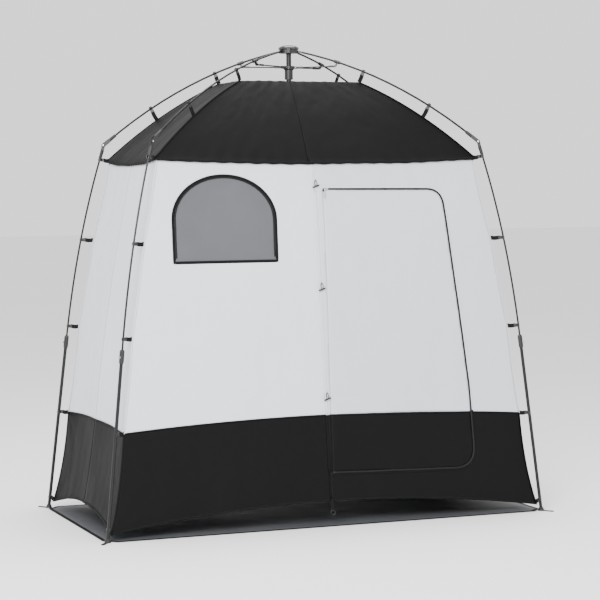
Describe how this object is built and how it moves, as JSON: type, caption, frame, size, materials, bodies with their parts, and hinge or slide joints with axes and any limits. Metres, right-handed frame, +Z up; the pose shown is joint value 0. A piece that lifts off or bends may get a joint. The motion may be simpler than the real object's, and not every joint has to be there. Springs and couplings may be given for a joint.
{
  "type": "privacy shower tent",
  "caption": "Pop-up privacy shower tent hung inside an outside folding pole frame, with a zipped front door, an arched mesh window and a loose ground sheet.",
  "frame": {"origin": "on the ground, on the middle line under the hub", "axes": "+Z up; -Y towards the front wall with the door and the window; +X to the right as seen from the front"},
  "size_m": [2.3032, 1.2006, 2.3024],
  "materials": {
    "black_plastic": "satin moulded nylon",
    "black_steel": "powder coated",
    "black_fibreglass": "smooth pultruded",
    "grey_plastic": "satin moulded",
    "white_cloth": "coated polyester taffeta",
    "black_cloth": "coated polyester taffeta",
    "window_netting": "polyester netting",
    "grey_cloth": "coated polyethylene",
    "webbing": "woven polypropylene"
  },
  "bodies": {
    "tent": {"hub_cap": "black_plastic", "hub_body": "black_plastic", "mast": "black_steel", "mast_cap": "black_plastic", "roof_cover": "black_cloth", "roof_patch": "grey_plastic", "front_wall": "white_cloth", "rear_wall": "white_cloth", "left_wall": "white_cloth", "right_wall": "white_cloth", "front_skirt": "black_cloth", "rear_skirt": "black_cloth", "left_skirt": "black_cloth", "right_skirt": "black_cloth", "window_mesh": "window_netting", "ground_sheet": "grey_cloth"},
    "runner": {"runner": "black_plastic"},
    "door_edge": {"door_tape": "white_cloth"},
    "door": {"door_panel": "white_cloth"},
    "rib_front_left": {"rib_front_left": "black_fibreglass", "rib_bracket_front_left": "black_plastic", "elbow_fork_front_left": "black_plastic"},
    "strut_front_left": {"strut_front_left": "black_steel"},
    "upper_leg_front_left": {"elbow_tongue_front_left": "black_plastic", "upper_pole_front_left": "black_fibreglass"},
    "lower_leg_front_left": {"lower_leg_front_left": "black_steel", "leg_collar_front_left": "black_plastic", "foot_front_left": "black_plastic"},
    "button_front_left": {"lock_button_front_left": "grey_plastic"},
    "rib_front_right": {"rib_front_right": "black_fibreglass", "rib_bracket_front_right": "black_plastic", "elbow_fork_front_right": "black_plastic"},
    "strut_front_right": {"strut_front_right": "black_steel"},
    "upper_leg_front_right": {"elbow_tongue_front_right": "black_plastic", "upper_pole_front_right": "black_fibreglass"},
    "lower_leg_front_right": {"lower_leg_front_right": "black_steel", "leg_collar_front_right": "black_plastic", "foot_front_right": "black_plastic"},
    "button_front_right": {"lock_button_front_right": "grey_plastic"},
    "rib_rear_left": {"rib_rear_left": "black_fibreglass", "rib_bracket_rear_left": "black_plastic", "elbow_fork_rear_left": "black_plastic"},
    "strut_rear_left": {"strut_rear_left": "black_steel"},
    "upper_leg_rear_left": {"elbow_tongue_rear_left": "black_plastic", "upper_pole_rear_left": "black_fibreglass"},
    "lower_leg_rear_left": {"lower_leg_rear_left": "black_steel", "leg_collar_rear_left": "black_plastic", "foot_rear_left": "black_plastic"},
    "button_rear_left": {"lock_button_rear_left": "grey_plastic"},
    "rib_rear_right": {"rib_rear_right": "black_fibreglass", "rib_bracket_rear_right": "black_plastic", "elbow_fork_rear_right": "black_plastic"},
    "strut_rear_right": {"strut_rear_right": "black_steel"},
    "upper_leg_rear_right": {"elbow_tongue_rear_right": "black_plastic", "upper_pole_rear_right": "black_fibreglass"},
    "lower_leg_rear_right": {"lower_leg_rear_right": "black_steel", "leg_collar_rear_right": "black_plastic", "foot_rear_right": "black_plastic"},
    "button_rear_right": {"lock_button_rear_right": "grey_plastic"}
  },
  "joints": [
    {"name": "frame_fold_front_left", "type": "hinge", "parent": "tent", "child": "rib_front_left", "pos_m": [-0.03769, -0.01854, 2.272], "axis": [0.4415, -0.8973, 0], "range_deg": [0, 50], "deforming": ["roof_cover", "roof_patch", "front_wall", "rear_wall", "left_wall", "right_wall", "front_skirt", "rear_skirt", "left_skirt", "right_skirt", "window_mesh", "door_panel", "ground_sheet"]},
    {"name": "frame_fold_front_right", "type": "hinge", "parent": "tent", "child": "rib_front_right", "pos_m": [0.03769, -0.01854, 2.272], "axis": [0.4415, 0.8973, 0], "range_deg": [0, 50]},
    {"name": "frame_fold_rear_left", "type": "hinge", "parent": "tent", "child": "rib_rear_left", "pos_m": [-0.03769, 0.01854, 2.272], "axis": [-0.4415, -0.8973, 0], "range_deg": [0, 50]},
    {"name": "frame_fold_rear_right", "type": "hinge", "parent": "tent", "child": "rib_rear_right", "pos_m": [0.03769, 0.01854, 2.272], "axis": [-0.4415, 0.8973, 0], "range_deg": [0, 50]},
    {"name": "runner_slide", "type": "slide", "parent": "tent", "child": "runner", "axis": [0, 0, -1], "range_m": [0, 0.2959]},
    {"name": "strut_hinge_front_left", "type": "hinge", "parent": "runner", "child": "strut_front_left", "pos_m": [-0.03051, -0.01501, 2.193], "axis": [-0.4415, 0.8973, 0], "range_deg": [0, 67.5]},
    {"name": "elbow_front_left", "type": "hinge", "parent": "rib_front_left", "child": "upper_leg_front_left", "pos_m": [-0.83445, -0.4106, 1.82], "axis": [-0.4415, 0.8973, 0], "range_deg": [0, 42]},
    {"name": "leg_slide_front_left", "type": "slide", "parent": "upper_leg_front_left", "child": "lower_leg_front_left", "axis": [0.1528, 0.0752, 0.9854], "range_m": [0, 0.6], "deforming": ["upper_pole_front_left"]},
    {"name": "button_press_front_left", "type": "slide", "parent": "lower_leg_front_left", "child": "button_front_left", "axis": [0.8909, 0.4384, -0.119], "range_m": [0, 0.0016], "stiffness_N_per_m": 600},
    {"name": "strut_hinge_front_right", "type": "hinge", "parent": "runner", "child": "strut_front_right", "pos_m": [0.03051, -0.01501, 2.193], "axis": [-0.4415, -0.8973, 0], "range_deg": [0, 67.5]},
    {"name": "elbow_front_right", "type": "hinge", "parent": "rib_front_right", "child": "upper_leg_front_right", "pos_m": [0.83445, -0.4106, 1.82], "axis": [-0.4415, -0.8973, 0], "range_deg": [0, 42]},
    {"name": "leg_slide_front_right", "type": "slide", "parent": "upper_leg_front_right", "child": "lower_leg_front_right", "axis": [-0.1528, 0.0752, 0.9854], "range_m": [0, 0.6], "deforming": ["upper_pole_front_right"]},
    {"name": "button_press_front_right", "type": "slide", "parent": "lower_leg_front_right", "child": "button_front_right", "axis": [-0.8909, 0.4384, -0.119], "range_m": [0, 0.0016], "stiffness_N_per_m": 600},
    {"name": "strut_hinge_rear_left", "type": "hinge", "parent": "runner", "child": "strut_rear_left", "pos_m": [-0.03051, 0.01501, 2.193], "axis": [0.4415, 0.8973, 0], "range_deg": [0, 67.5]},
    {"name": "elbow_rear_left", "type": "hinge", "parent": "rib_rear_left", "child": "upper_leg_rear_left", "pos_m": [-0.83445, 0.4106, 1.82], "axis": [0.4415, 0.8973, 0], "range_deg": [0, 42]},
    {"name": "leg_slide_rear_left", "type": "slide", "parent": "upper_leg_rear_left", "child": "lower_leg_rear_left", "axis": [0.1528, -0.0752, 0.9854], "range_m": [0, 0.6], "deforming": ["upper_pole_rear_left"]},
    {"name": "button_press_rear_left", "type": "slide", "parent": "lower_leg_rear_left", "child": "button_rear_left", "axis": [0.8909, -0.4384, -0.119], "range_m": [0, 0.0016], "stiffness_N_per_m": 600},
    {"name": "strut_hinge_rear_right", "type": "hinge", "parent": "runner", "child": "strut_rear_right", "pos_m": [0.03051, 0.01501, 2.193], "axis": [0.4415, -0.8973, 0], "range_deg": [0, 67.5]},
    {"name": "elbow_rear_right", "type": "hinge", "parent": "rib_rear_right", "child": "upper_leg_rear_right", "pos_m": [0.83445, 0.4106, 1.82], "axis": [0.4415, -0.8973, 0], "range_deg": [0, 42]},
    {"name": "leg_slide_rear_right", "type": "slide", "parent": "upper_leg_rear_right", "child": "lower_leg_rear_right", "axis": [-0.1528, -0.0752, 0.9854], "range_m": [0, 0.6], "deforming": ["upper_pole_rear_right"]},
    {"name": "button_press_rear_right", "type": "slide", "parent": "lower_leg_rear_right", "child": "button_rear_right", "axis": [-0.8909, -0.4384, -0.119], "range_m": [0, 0.0016], "stiffness_N_per_m": 600},
    {"name": "door_edge_draw", "type": "slide", "parent": "tent", "child": "door_edge", "axis": [0, 0.6317, -0.7752], "range_m": [0, 0.601]},
    {"name": "door_swing", "type": "hinge", "parent": "door_edge", "child": "door", "pos_m": [0.012, -0.518, 0.245], "axis": [0, -0.0786, -0.9969], "range_deg": [0, 110]}
  ],
  "couplings": [
    {"joint": "frame_fold_front_right", "follows": "frame_fold_front_left", "ratio": 1},
    {"joint": "frame_fold_rear_left", "follows": "frame_fold_front_left", "ratio": 1},
    {"joint": "frame_fold_rear_right", "follows": "frame_fold_front_left", "ratio": 1},
    {"joint": "runner_slide", "follows": "frame_fold_front_left", "m_per_rad": 0.33896},
    {"joint": "strut_hinge_front_left", "follows": "frame_fold_front_left", "ratio": 1.3495},
    {"joint": "elbow_front_left", "follows": "frame_fold_front_left", "ratio": 0.83793},
    {"joint": "strut_hinge_front_right", "follows": "frame_fold_front_left", "ratio": 1.3495},
    {"joint": "elbow_front_right", "follows": "frame_fold_front_left", "ratio": 0.83793},
    {"joint": "strut_hinge_rear_left", "follows": "frame_fold_front_left", "ratio": 1.3495},
    {"joint": "elbow_rear_left", "follows": "frame_fold_front_left", "ratio": 0.83793},
    {"joint": "strut_hinge_rear_right", "follows": "frame_fold_front_left", "ratio": 1.3495},
    {"joint": "elbow_rear_right", "follows": "frame_fold_front_left", "ratio": 0.83793},
    {"joint": "door_edge_draw", "follows": "frame_fold_front_left", "m_per_rad": 0.68789}
  ]
}
